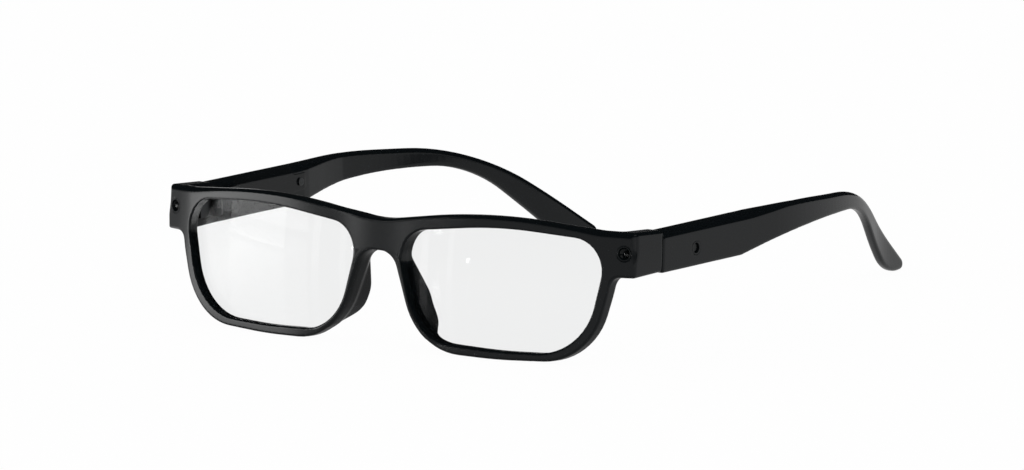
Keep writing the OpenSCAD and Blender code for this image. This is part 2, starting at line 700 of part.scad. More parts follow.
right_side() battery_contacts();  // battery_contacts_right
circuit_board();  // circuit_board_left
right_side() circuit_board();  // circuit_board_right
switch_body();  // switch_body_left
right_side() switch_body();  // switch_body_right
power_button();  // power_button_left
right_side() power_button();  // power_button_right
contact_pins();  // contact_pins_left
right_side() contact_pins();  // contact_pins_right
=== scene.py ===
import json
import math
from types import SimpleNamespace

import bpy
import numpy as np
from bpy.props import FloatProperty, FloatVectorProperty, PointerProperty
from mathutils import Matrix, Vector


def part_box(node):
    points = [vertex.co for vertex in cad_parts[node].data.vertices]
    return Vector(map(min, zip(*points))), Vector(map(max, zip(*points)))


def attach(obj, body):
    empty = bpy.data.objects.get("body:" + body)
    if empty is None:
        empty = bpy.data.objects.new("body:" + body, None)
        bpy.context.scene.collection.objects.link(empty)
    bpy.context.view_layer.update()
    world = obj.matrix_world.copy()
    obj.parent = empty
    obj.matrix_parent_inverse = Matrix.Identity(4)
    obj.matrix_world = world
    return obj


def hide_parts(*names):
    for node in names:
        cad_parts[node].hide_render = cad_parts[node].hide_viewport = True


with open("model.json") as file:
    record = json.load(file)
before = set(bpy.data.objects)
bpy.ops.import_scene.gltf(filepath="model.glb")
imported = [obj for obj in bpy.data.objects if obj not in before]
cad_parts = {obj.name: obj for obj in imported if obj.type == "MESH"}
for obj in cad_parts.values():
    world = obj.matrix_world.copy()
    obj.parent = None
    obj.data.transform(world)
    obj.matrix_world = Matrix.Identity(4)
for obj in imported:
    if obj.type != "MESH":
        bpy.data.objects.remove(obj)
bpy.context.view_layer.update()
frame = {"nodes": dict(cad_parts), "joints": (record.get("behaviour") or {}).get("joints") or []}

bl_info = {
    "name": "Lighted reading glasses",
    "version": (1, 0, 0),
    "blender": (4, 5, 0),
    "location": "View3D > Sidebar > Glasses",
    "description": "Builds the moulded front, temples, lenses, lamps and buttons over the packed frame",
    "category": "Object",
}

MM = 0.001
SIDES = (("left", 1), ("right", -1))
PICTURE_W, SENSOR_W = 1024, 36.0
# Steps in millimetres of the grids that the fields are worked out on, full and quick, and the margin in steps.
FRONT_STEPS, TEMPLE_STEPS, LID_STEP = (0.24, 0.45), (0.3, 0.5), 0.2
MARGIN = 3
# Scale of the finest moulding grain: noise cells in a metre.
FINE_GRAIN = 1500.0


# ---- sizes and colours that a user would change ----


def length(name, mm, text):
    """A length property, given in millimetres and kept in metres."""
    return FloatProperty(name=name, description=text, default=mm * MM, subtype="DISTANCE", unit="LENGTH",
                         precision=5)


def turn(name, degrees, text):
    """An angle property, given in degrees."""
    return FloatProperty(name=name, description=text, default=math.radians(degrees), subtype="ANGLE",
                         unit="ROTATION")


def colour(name, rgb, text):
    """A colour property."""
    return FloatVectorProperty(name=name, description=text, default=rgb, size=3, subtype="COLOR", min=0, max=1)


def share(name, value, text):
    """A property between 0 and 1."""
    return FloatProperty(name=name, description=text, default=value, min=0, max=1, subtype="FACTOR")


def amount(name, value, text):
    """A plain number."""
    return FloatProperty(name=name, description=text, default=value)


class FrontSizes(bpy.types.PropertyGroup):
    bridge_w: length("Bridge", 10.8, "Gap between the lens openings at their unrounded top corners")
    lens_w: length("Opening width", 59.3, "Width of a lens opening at its unrounded top corners")
    lens_h: length("Opening height", 29.0, "Height of a lens opening up to its peak")
    lens_top: length("Opening top", 1.85, "Height of the opening's peak over the bridge's mark")
    nose_drop: length("Nose drop", 3.4, "How far the opening's nose corner lies below its peak")
    temple_drop: length("Temple drop", 1.6, "How far the opening's temple corner lies below its peak")
    nose_in: length("Nose lean", 6.9, "How far the opening's nose side leans in")
    temple_in: length("Temple lean", 6.2, "How far the opening's temple side leans in")
    nose_r: length("Nose corner", 7.3, "Radius of the opening's upper nose corner")
    temple_r: length("Temple corner", 7.7, "Radius of the opening's upper temple corner")
    low_nose_r: length("Low nose corner", 13.6, "Radius of the opening's lower nose corner")
    low_temple_r: length("Low temple corner", 15.7, "Radius of the opening's lower temple corner")
    rim_d: length("Rim depth", 3.5, "Depth of the rims")
    grow: length("Grow", 0.25, "How much wider the rims are than the CAD solid's, below the brow")
    bridge_extra: length("Bridge depth", 1.2, "How much deeper the bridge is than the rims")
    bridge_dip: length("Bridge dip", 0.75, "Height of the brow line over the bridge, where its arc's tangents meet")
    rim_low: length("Lower rim", 2.2, "Width of the rim below the lens")
    rim_side: length("Side rim", 2.5, "Width of the rim on the temple side")
    rim_nose: length("Nose rim", 1.4, "Width of the rim on the nose side")
    bridge_h: length("Bridge underside", 6.4, "How far the bridge's underside lies below its mark")
    bridge_r: length("Bridge arch", 5.4, "Radius of the arch under the bridge")
    brow_x: length("Brow place", 31.0, "Distance from the middle to the brow line's peak")
    brow_h: length("Brow height", 5.2, "Height of that peak")
    brow_r: length("Brow radius", 158.0, "Radius of the brow line")
    front_r: length("Front radius", 328.0, "Radius of the front seen from above")
    end_r: length("End radius", 80.0, "Radius of the front at its end pieces")
    end_top: length("End height", 2.9, "Height of an end piece over the bridge's mark")
    seam_y: length("Seam", 19.05, "Distance from the bridge to the seam")
    seam_gap: length("Seam gap", 0.25, "Gap at the seam")
    proud: length("Proud", 0.4, "How far the end pieces and temples bulge past the CAD solids' sides")
    low_bow: length("Lower bow", 0.8, "How much the opening's lower edge bows down")
    edge_r: length("Side edges", 0.4, "Rounding of the front's side and lower edges")
    top_edge_r: length("Top edge", 0.85, "Rounding of the front's top edge")
    end_edge_r: length("End piece edge", 1.35, "Rounding of the end pieces' top edge")
    corner_r: length("End corner", 0.6, "Rounding of the end pieces' upright corner")
    back_edge_r: length("Back edges", 1.0, "Rounding of the front's back edges")
    eye_edge_r: length("Opening edge", 0.3, "Rounding of the lens openings' edges")
    pad_top: length("Pad start", 8.4, "Where a nose pad starts below the bridge's mark")
    pad_h: length("Pad height", 18.0, "Height of a nose pad")
    pad_d: length("Pad reach", 6.4, "How far a nose pad stands behind the rim")
    pad_t: length("Pad thickness", 2.2, "Thickness of a nose pad")
    recess_d: length("Lamp recess", 2.9, "Diameter of the recess round an LED")
    recess: length("Recess depth", 1.0, "Depth of that recess")
    lamp_low: length("Lamp height", 2.1, "Distance of an LED below the bridge's mark")
    lean: turn("Lean", 4.86, "How far the front's top leans back")


class TempleSizes(bpy.types.PropertyGroup):
    arm_h: length("Height", 9.9, "Height of a temple at the hinge")
    arm_t: length("Thickness", 5.1, "Thickness of a temple at its housing")
    neck_t: length("Neck", 2.4, "Thickness of a temple past its housing")
    housing_l: length("Housing", 31.0, "Distance from the seam to where the lower edge rises")
    low_drop: length("Housing lower edge", 0.3, "How far the housing's lower edge lies below the CAD solid's")
    housing_drop: length("Housing drop", 0.9, "How much lower the lower edge lies there")
    thin_l: length("Thinning starts", 36.6, "Distance from the seam to where the temple thins")
    thin_run: length("Thinning run", 17.4, "Length over which it thins")
    top_crest_l: length("Top crest", 56.5, "Distance from the seam to the crest of the upper edge")
    top_crest_drop: length("Top crest drop", 1.0, "Drop of the upper edge there")
    crest_l: length("Low crest", 61.8, "Distance from the seam to the crest of the lower edge")
    crest_low: length("Low crest depth", 6.4, "Depth of that crest below the upper edge's start")
    bend_l: length("Ear bend", 94.1, "Distance from the seam to the ear bend")
    bend_drop: length("Ear bend drop", 4.6, "Drop of the upper edge at the ear bend")
    bend_h: length("Ear bend depth", 4.6, "Depth of the temple at the ear bend")
    arm_l: length("Length", 131.1, "Distance from the seam to the tip")
    tip_foot: length("Tip foot", 13.0, "Length of the tip's lower edge before rounding")
    turn_l: length("Turn starts", 44.5, "Distance from the seam to where the temple turns in")
    turn_r: length("Turn radius", 127.0, "Radius of that turn")
    turn_straight: length("Straight", 9.0, "Length of the straight part after that turn")
    back_r: length("Turn back radius", 85.0, "Radius of the turn back")
    top_edge_r: length("Housing top edge", 2.2, "Rounding of the housing's top edges")
    neck_edge_r: length("Neck edge", 1.1, "Rounding of a temple's top edges past its housing")
    low_edge_r: length("Lower edge", 0.5, "Rounding of a temple's lower edges")
    seam_edge_r: length("Seam edge", 0.35, "Rounding of the edges at the seam")
    turn_a: turn("Turn angle", 24.8, "Angle of the turn in")
    back_a: turn("Turn back angle", 9.9, "Angle of the turn back")


class Finishes(bpy.types.PropertyGroup):
    plastic: colour("Plastic", (0.0030, 0.0042, 0.0050), "Colour of the moulded plastic")
    plastic_rough: share("Plastic roughness", 0.13, "Roughness of the moulded plastic")
    gloss: share("Gloss", 0.35, "Specular level of the moulded plastic")
    cover: colour("Covers", (0.004, 0.005, 0.0056), "Colour of the covers")
    lens: colour("Lens", (0.875, 0.88, 0.88), "Tint of the lenses")
    lamp: colour("Lamp resin", (0.3, 0.31, 0.3), "Colour of the LED's resin")
    steel: colour("Steel", (0.075, 0.078, 0.08), "Colour of the blackened hinges and screws")
    nickel: colour("Cells", (0.56, 0.56, 0.57), "Colour of the cells")
    gilt: colour("Contacts", (0.83, 0.62, 0.3), "Colour of the contacts")
    board: colour("Boards", (0.03, 0.16, 0.06), "Colour of the circuit boards")
    button: colour("Button", (0.004, 0.005, 0.0056), "Colour of the push buttons")


# A painted pool of light on the floor, seen only in the gloss: how bright the floor looks there, by the direction
# from its middle in turns, wide on the wearer's right and dimmer in front.
POOL = ((0.0, 0.25), (0.076, 0.27), (0.096, 1.0), (0.112, 0.7), (0.135, 0.15), (0.35, 0.14), (0.45, 0.26),
        (1.0, 0.25))
# The lamps: name, place, aim, width, height, and the share of the power that the stage has under the name's
# first word.
LIGHTS = (
    ("key", (-0.86, -0.66, 0.13), (-0.05, -0.07, 0.02), 0.28, 0.25, 1),
    ("strip_right", (-0.295, -0.41, 0.125), (0, -0.07, 0.125), 0.016, 0.25, 1),
    ("strip_middle", (-0.248, -0.439, 0.125), (0.01, -0.07, 0.125), 0.012, 0.25, 0.6),
    ("spark", (-0.61, -1.089, 0.052), (0.026, -0.071, 0.023), 0.016, 0.016, 1),
    ("fill", (0.9, -0.3, 0.9), (0, 0, 0.02), 0.8, 0.8, 1))


class StageSizes(bpy.types.PropertyGroup):
    azimuth: turn("Azimuth", 37.912, "Camera's turn from the front, towards the wearer's left")
    elevation: turn("Elevation", 9.999, "Camera's height angle")
    roll: turn("Roll", 1.525, "Camera's roll")
    distance: FloatProperty(name="Distance", description="Camera's distance", default=2.88698, unit="LENGTH")
    aim: FloatVectorProperty(name="Aim", description="What the picture's middle shows",
                             default=(0.025301, -0.052737, 0.02616), size=3, subtype="TRANSLATION")
    focal_px: amount("Focal length", 12048.0, "Focal length, in pixels of the picture")
    world: amount("World light", 0.82, "Strength of the even light")
    overhead: amount("Overhead", 0.006, "How bright the room above looks in the gloss")
    # Strength of the floor's painted glow, which only the gloss sees.
    floor_glow: amount("Floor in the gloss", 2.0, "How bright the floor looks in the gloss")
    key: amount("Key light", 0.7, "Power of the low key light")
    fill: amount("Fill light", 1.15, "Power of the fill light")
    spark: amount("Spark", 0.025, "Power of the small lamp that glints in the lens")
    strip: amount("Strips", 0.03, "Power of each narrow light that the bridge mirrors")


def in_mm(group):
    """The group's lengths in millimetres and its angles in radians, as plain values."""
    out = {}
    for name, prop in group.bl_rna.properties.items():
        if prop.type == "FLOAT" and name in group.__annotations__:
            out[name] = getattr(group, name) / (MM if prop.unit == "LENGTH" else 1)
    return SimpleNamespace(**out)


def box_mm(node):
    """A node's lowest and highest corners at rest, in millimetres."""
    return [np.array(corner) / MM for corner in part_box(node)]


def pair(*kinds):
    """The names of the left and right nodes of each kind."""
    return [f"{kind}_{side}" for kind in kinds for side, _ in SIDES]


def seam_at(z, f):
    """Distance from the bridge to the temples' front faces at a height z."""
    return (f.seam_y + z * math.sin(f.lean)) / math.cos(f.lean) + f.seam_gap


def sizes():
    """All sizes, with the places that follow from them and from the frame, in millimetres."""
    f, t = in_mm(bpy.context.scene.glasses_front), in_mm(bpy.context.scene.glasses_temple)
    cover_low, cover_high = box_mm("battery_cover_left")
    led_low, led_high = box_mm("led_left")
    hinge = next(j for j in frame["joints"] if j["name"] == "temple_left_fold")
    arm_top = f.end_top * math.cos(f.lean) - f.seam_y * math.sin(f.lean)
    arm_low = arm_top - t.arm_h
    arm_mid = (arm_top + arm_low) / 2
    arm_y = seam_at(arm_mid, f)
    mid_y = arm_y - f.seam_gap / 2 - hinge["pos_m"][1] / MM
    lift = (cover_low[2] + cover_high[2]) / 2 - arm_mid
    open_x1, open_low = f.bridge_w / 2 + f.lens_w, f.lens_top - f.lens_h
    # The front starts to bend back at curve_x; end_x is an end piece's inner side and end_low its underside.
    place = SimpleNamespace(
        half_w=box_mm("front_frame")[1][0] + f.proud, in_x=cover_low[0], lamp_x=(led_low[0] + led_high[0]) / 2,
        arm_top=arm_top, arm_low=arm_low, arm_y=arm_y, mid_y=mid_y, lift=lift, shift=np.array((0, -mid_y, lift)),
        open_x0=f.bridge_w / 2, open_x1=open_x1, open_low=open_low, rim_bottom=open_low - f.rim_low,
        curve_x=open_x1 - 2.5, end_x=open_x1 + f.rim_side - 2.1, end_low=-9.5)
    return f, t, place


# ---- outlines and fields ----


def rounded(corners, steps=12):
    """An outline whose corners (x, y, r) are rounded with arcs of radius r."""
    out = []
    for i, (x, y, r) in enumerate(corners):
        p = np.array((x, y))
        back, ahead = np.array(corners[i - 1][:2]) - p, np.array(corners[(i + 1) % len(corners)][:2]) - p
        u, v = back / np.linalg.norm(back), ahead / np.linalg.norm(ahead)
        half = math.acos(np.clip(u @ v, -1, 1)) / 2
        if r <= 0 or half > math.radians(89.9):
            out.append(p)
            continue
        w = (u + v) / np.linalg.norm(u + v)
        centre = p + w * r / math.sin(half)
        s, e = p + u * r / math.tan(half) - centre, p + v * r / math.tan(half) - centre
        start, sweep = math.atan2(s[1], s[0]), math.atan2(s[0] * e[1] - s[1] * e[0], s @ e)
        for a in np.linspace(start, start + sweep, steps + 1):
            out.append(centre + r * np.array((math.cos(a), math.sin(a))))
    return np.array(out)


def outline_field(points, u, v):
    """Distance of each (u, v) from a closed outline, negative inside."""
    U, V = np.meshgrid(u, v, indexing="ij")
    near, inside = np.full(U.shape, np.inf), np.zeros(U.shape, bool)
    for a, b in zip(points, np.roll(points, -1, 0)):
        e = b - a
        size = e @ e
        if size < 1e-12:
            continue
        along = np.clip(((U - a[0]) * e[0] + (V - a[1]) * e[1]) / size, 0, 1)
        near = np.minimum(near, (U - a[0] - along * e[0]) ** 2 + (V - a[1] - along * e[1]) ** 2)
        if e[1]:
            inside ^= ((a[1] > V) != (b[1] > V)) & (U < a[0] + (V - a[1]) * e[0] / e[1])
    return (np.where(inside, -1, 1) * np.sqrt(near)).astype(np.float32)


def pair_field(points, u, v):
    """Distance of each (u, v) from a closed outline or its mirror image, negative inside."""
    return np.minimum(outline_field(points, u, v), outline_field(points * (-1, 1), u, v))


def grid(low, high, step):
    """Places along the three axes, and the same places as arrays that broadcast over the grid."""
    x, y, z = (np.arange(low[i], high[i], step) for i in range(3))
    return x, y, z, x[:, None, None], y[None, :, None], z[None, None, :]


def both(a, b, r):
    """What two fields share, with an edge of radius r."""
    return np.minimum(np.maximum(a, b), -r) + np.hypot(np.maximum(a + r, 0), np.maximum(b + r, 0))


def either(a, b, blend):
    """Two fields joined, with a smooth blend."""
    near = np.maximum(blend - np.abs(a - b), 0) / blend
    return np.minimum(a, b) - near * near * blend / 4


def smooth(value, start, end):
    """0 before start and 1 after end, with a smooth change between."""
    along = np.clip((value - start) / (end - start), 0, 1)
    return along * along * (3 - 2 * along)


def mix(a, b, part):
    """A value between a and b."""
    return a + (b - a) * part


def skin(field, origin, step):
    """The zero surface of a field on a grid, as points and quads."""
    inside = field < 0
    nx, ny, nz = field.shape
    corners = [(i, j, k) for i in (0, 1) for j in (0, 1) for k in (0, 1)]
    count = sum(inside[i:nx - 1 + i, j:ny - 1 + j, k:nz - 1 + k].astype(np.int8) for i, j, k in corners)
    cells = np.argwhere((count > 0) & (count < 8))
    value = {c: field[cells[:, 0] + c[0], cells[:, 1] + c[1], cells[:, 2] + c[2]] for c in corners}
    total, hits = np.zeros((len(cells), 3)), np.zeros(len(cells))
    for c in corners:
        for axis in range(3):
            if c[axis]:
                continue
            d = tuple(1 if i == axis else c[i] for i in range(3))
            a, b = value[c], value[d]
            cross = (a < 0) != (b < 0)
            at = np.where(cross, a / np.where(cross, a - b, 1), 0)
            point = np.tile(np.array(c, float), (len(cells), 1))
            point[:, axis] = at
            total[cross] += point[cross]
            hits += cross
    points = (cells + total / hits[:, None]) * step + origin
    index = np.full(count.shape, -1, np.int32)
    index[tuple(cells.T)] = np.arange(len(cells))
    quads = []
    for axis in range(3):
        lo = np.take(inside, range(field.shape[axis] - 1), axis)
        hi = np.take(inside, range(1, field.shape[axis]), axis)
        edges = np.argwhere(lo != hi)
        u, v = np.eye(3, dtype=int)[(axis + 1) % 3], np.eye(3, dtype=int)[(axis + 2) % 3]
        ring = [index[tuple((edges - s).T)] for s in (0 * u, u, u + v, v)]
        quad = np.stack(ring, 1)
        flip = ~lo[tuple(edges.T)]
        quad[flip] = quad[flip][:, ::-1]
        quads.append(quad)
    return points, np.concatenate(quads)


def linked(name, data):
    """A new object in the scene, with its mesh, lamp or camera."""
    made = bpy.data.objects.new(name, data)
    bpy.context.scene.collection.objects.link(made)
    return made


def put_mesh(name, points, faces, finish, body, node=None):
    """A piece from points in millimetres, on its body, in place of a CAD node if one is named."""
    mesh = bpy.data.meshes.new(name)
    mesh.from_pydata((points * MM).tolist(), [], [[int(v) for v in face] for face in faces])
    mesh.polygons.foreach_set("use_smooth", [True] * len(mesh.polygons))
    mesh.materials.append(finish)
    mesh.update()
    piece = linked(name, mesh)
    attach(piece, body)
    if node:
        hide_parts(node)


def facing(faces, sign):
    """The faces, turned over for the mirrored side."""
    return faces if sign > 0 else [list(face)[::-1] for face in faces]


def put_pair(name, points, faces, finish, body, node=None, out=1):
    """Like pieces on both sides, from the one at +X; a body that ends in _ gets the side's name."""
    for side, sign in SIDES:
        put_mesh(f"{name}_{side}", points * (sign, 1, 1), facing(faces, out * sign), finish,
                 body + side if body.endswith("_") else body, node and f"{node}_{side}")


def lathe(profile, centre, axis, around=48):
    """Points and faces of a profile of (radius, distance along the axis) turned round an axis."""
    axis = Vector(axis).normalized()
    side = axis.orthogonal().normalized()
    other = axis.cross(side)
    rings, faces, points = [], [], []
    for r, along in profile:
        if r < 1e-6:
            rings.append([len(points)])
            points.append(Vector(centre) + axis * along)
            continue
        rings.append(list(range(len(points), len(points) + around)))
        for i in range(around):
            a = 2 * math.pi * i / around
            points.append(Vector(centre) + axis * along + (side * math.cos(a) + other * math.sin(a)) * r)
    for one, two in zip(rings, rings[1:]):
        for i in range(around):
            j = (i + 1) % around
            ring = [one[i % len(one)], one[j % len(one)], two[j % len(two)], two[i % len(two)]]
            face = [v for n, v in enumerate(ring) if v not in ring[:n]]
            if len(face) > 2:
                faces.append(face)
    return np.array([tuple(p) for p in points]), faces


def plate(corners, face, deep, bevel):
    """Points and faces of a plate that faces -X, from rounded corners in Y and Z, with a soft edge."""
    outline = rounded(corners, 6)
    along = np.roll(outline, -1, 0) - np.roll(outline, 1, 0)
    along /= np.linalg.norm(along, axis=1)[:, None]
    inwards = np.stack([along[:, 1], -along[:, 0]], 1)
    steps = [(0, deep), (0, face + bevel)]
    steps += [(bevel * (1 - math.cos(a)), face + bevel * (1 - math.sin(a))) for a in (0.4, 0.8, 1.2, math.pi / 2)]
    steps.append((bevel + 0.1, face))
    points = np.concatenate([np.column_stack([np.full(len(outline), x), outline + inwards * d]) for d, x in steps])
    n = len(outline)
    faces = [[k * n + i, k * n + (i + 1) % n, (k + 1) * n + (i + 1) % n, (k + 1) * n + i]
             for k in range(len(steps) - 1) for i in range(n)]
    return points, faces + [[(len(steps) - 1) * n + i for i in range(n)]]


def round_face(radius, height, rings=16, around=64):
    """Places u, v and heights of a round face's points, and its faces, from the height at each point."""
    turns = np.linspace(0, 2 * math.pi, around, endpoint=False)
    spots = [(0.0, 0.0)] + [(radius * k / rings * math.cos(a), radius * k / rings * math.sin(a))
                            for k in range(1, rings + 1) for a in turns]
    points = np.array([(u, v, height(u, v)) for u, v in spots]).T
    faces = [[0, 1 + i, 1 + (i + 1) % around] for i in range(around)]
    for k in range(rings - 1):
        for i in range(around):
            j, one, two = (i + 1) % around, 1 + k * around, 1 + (k + 1) * around
            faces.append([one + i, two + i, two + j, one + j])
    return points, faces


def well(r, lip, deep, bottom):
    """Profile of a lined hole: a lip that lies on the face, a rounded edge, a wall and perhaps a bottom."""
    edge = 0.1
    profile = [(lip, 0.01), (lip - 0.05, -0.015), (r + 0.2, -0.015), (r + 0.13, -0.014), (r + edge, -0.01)]
    profile += [(r + edge - edge * math.sin(a), 0.09 - edge * math.cos(a)) for a in (0.5, 1.0, math.pi / 2)]
    return profile + [(r, deep)] + ([(0, deep)] if bottom else [])


# ---- materials ----


def fill(node, **inputs):
    """Sets a node's inputs by their names, with _ for each space."""
    for name, value in inputs.items():
        node.inputs[name.replace("_", " ")].default_value = value


def join(tree, kind, *values, operation=None):
    """A new node whose inputs, in order, get numbers or other nodes' outputs; gives its first output."""
    node = tree.nodes.new(kind)
    if operation:
        node.operation = operation
    for socket, value in zip(node.inputs, values):
        if isinstance(value, bpy.types.NodeSocket):
            tree.links.new(value, socket)
        else:
            socket.default_value = value
    return node.outputs[0]


def moulding_group():
    """Shader group: the fine unevenness of moulded plastic, as a roughness, a height and a tint."""
    group = bpy.data.node_groups.get("Moulding grain")
    if group:
        return group
    group = bpy.data.node_groups.new("Moulding grain", "ShaderNodeTree")
    for name, value in (("Scale", 900.0), ("Smoothest", 0.25), ("Roughest", 0.4)):
        group.interface.new_socket(name, in_out="INPUT", socket_type="NodeSocketFloat").default_value = value
    for name in ("Roughness", "Height", "Tint"):
        group.interface.new_socket(name, in_out="OUTPUT", socket_type="NodeSocketFloat")
    nodes, links = group.nodes, group.links
    given, out = nodes.new("NodeGroupInput"), nodes.new("NodeGroupOutput")
    place = nodes.new("ShaderNodeTexCoord")
    fine, broad = nodes.new("ShaderNodeTexNoise"), nodes.new("ShaderNodeTexNoise")
    fill(broad, Scale=40.0, Detail=3.0)
    fill(fine, Detail=4.0)
    for noise in (fine, broad):
        links.new(place.outputs["Object"], noise.inputs["Vector"])
    links.new(given.outputs["Scale"], fine.inputs["Scale"])
    links.new(fine.outputs["Fac"], out.inputs["Height"])
    unevenness = broad.outputs["Fac"]
    for result, smallest, largest in (("Roughness", given.outputs["Smoothest"], given.outputs["Roughest"]),
                                      ("Tint", 0.85, 1.15)):
        links.new(join(group, "ShaderNodeMapRange", unevenness, 0.0, 1.0, smallest, largest), out.inputs[result])
    return group


def material(name, rgb, roughness, metallic=0.0, grain=900.0, relief=0.02, spread=0.3, **fixed):
    """A procedural finish: colour and roughness vary a little, with a fine relief."""
    made = bpy.data.materials.get(name)
    if made:
        return made
    made = bpy.data.materials.new(name)
    made.use_nodes = True
    made.diffuse_color = (*rgb, 1)
    nodes, links = made.node_tree.nodes, made.node_tree.links
    shader = nodes["Principled BSDF"]
    uneven = nodes.new("ShaderNodeGroup")
    uneven.node_tree = moulding_group()
    fill(uneven, Scale=grain, Smoothest=roughness * (1 - spread), Roughest=roughness * (1 + spread))
    tint, bump = nodes.new("ShaderNodeVectorMath"), nodes.new("ShaderNodeBump")
    tint.operation = "SCALE"
    tint.inputs[0].default_value = rgb
    fill(bump, Strength=relief, Distance=0.0001)
    links.new(uneven.outputs["Tint"], tint.inputs["Scale"])
    links.new(tint.outputs["Vector"], shader.inputs["Base Color"])
    links.new(uneven.outputs["Roughness"], shader.inputs["Roughness"])
    links.new(uneven.outputs["Height"], bump.inputs["Height"])
    links.new(bump.outputs["Normal"], shader.inputs["Normal"])
    fill(shader, Metallic=metallic, **fixed)
    return made


def clear_material(name, rgb, roughness, ior, coat):
    """A clear finish, whose polish is a little uneven."""
    made = bpy.data.materials.get(name)
    if made:
        return made
    made = material(name, rgb, roughness, relief=0.0)
    nodes, links = made.node_tree.nodes, made.node_tree.links
    shader = nodes["Principled BSDF"]
    for socket in ("Base Color", "Roughness", "Normal"):
        links.remove(shader.inputs[socket].links[0])
    fill(shader, Base_Color=(*rgb, 1), Roughness=roughness, Transmission_Weight=1.0, IOR=ior, Coat_IOR=1.5,
         Coat_Roughness=0.03)
    uneven = next(n for n in nodes if n.type == "GROUP")
    fill(uneven, Smoothest=coat * 0.85, Roughest=coat)
    links.new(uneven.outputs["Roughness"], shader.inputs["Coat Weight"])
    return made


def paint(nodes, finish):
    """Gives carried-over CAD nodes a finish."""
    for name in nodes:
        slots = frame["nodes"][name].data.materials
        slots.clear()
        slots.append(finish)


def finishes():
    """The palette of colours."""
    return bpy.context.scene.glasses_finish


def plastic():
    """The black moulded plastic."""
    f = finishes()
    return material("black_moulding", f.plastic, f.plastic_rough, grain=FINE_GRAIN, Specular_IOR_Level=f.gloss)


# ---- the front ----


def sag(x, f, p):
    """How far the front face lies behind the bridge at x: a gentle arc, and a tighter one past curve_x."""
    x = np.abs(x)
    start = math.asin(p.curve_x / f.front_r)
    gentle = f.front_r - np.sqrt(f.front_r ** 2 - np.minimum(x, p.curve_x) ** 2)
    s = np.clip(math.sin(start) + np.maximum(x - p.curve_x, 0) / f.end_r, 0, 0.95)
    return gentle + f.end_r * (math.cos(start) - np.sqrt(1 - s ** 2))


def mirrored(half):
    """A closed outline from its corners on the +X side, top to bottom, with one on the middle line first."""
    return half + [(-x, y, r) for x, y, r in reversed(half[1:])]


def front_outlines(f, p):
    """The outlines of the lens opening on the +X side and of the whole front."""
    # Corners (x, y, radius): the large radii only soften a slight kink.
    mid_x = (p.open_x0 + p.open_x1) / 2
    eye = [(p.open_x0, f.lens_top - f.nose_drop, f.nose_r), (mid_x, f.lens_top, 120),
           (p.open_x1, f.lens_top - f.temple_drop, f.temple_r),
           (p.open_x1 - f.temple_in, p.open_low, f.low_temple_r), (mid_x, p.open_low - f.low_bow, 150),
           (p.open_x0 + f.nose_in, p.open_low, f.low_nose_r)]
    half = [(0, f.bridge_dip, 35), (f.brow_x, f.brow_h, f.brow_r), (p.curve_x, f.end_top, 20),
            (p.half_w - 0.2, f.end_top, 0.8), (p.half_w, -3.3, 60), (p.half_w - 0.3, p.end_low, 0.5),
            (p.end_x, p.end_low, 1.6),
            (p.open_x1 - f.temple_in + f.rim_side - 1.3, p.rim_bottom + 0.7, f.low_temple_r + 0.6),
            (mid_x, p.rim_bottom + 0.35 - f.low_bow, 150),
            (p.open_x0 + f.nose_in + 2 - f.rim_nose, p.rim_bottom, f.low_nose_r + 3),
            (p.open_x0 + 0.85 - f.rim_nose, -f.bridge_h, f.bridge_r)]
    return rounded(eye), rounded(mirrored(half))


def pads_field(f, outline, x, y, h):
    """Field of both nose pads, fins that stand on the nose sides of the front's outline."""
    nose = np.array([q for q in outline if 2 < q[0] < 24 and q[1] < -f.bridge_h - 0.4])
    strip = np.concatenate([nose + (0.05, 0), (nose + (f.pad_t, 0))[::-1]])
    pad_low, back, root = f.pad_top + f.pad_h, f.rim_d + f.pad_d, 0.8
    profile = rounded([(root, -f.bridge_h, 0), (f.rim_d + 0.7, -f.bridge_h, 2.5),
                       (back, -f.pad_top - f.pad_h * 0.47, 7), (back, -f.pad_top - f.pad_h * 0.8, 4),
                       (f.rim_d + 0.4, -pad_low, 2.5), (root, -pad_low, 0)])
    return both(pair_field(strip, x, h)[:, None, :], outline_field(profile, y, h)[None, :, :], 0.9)


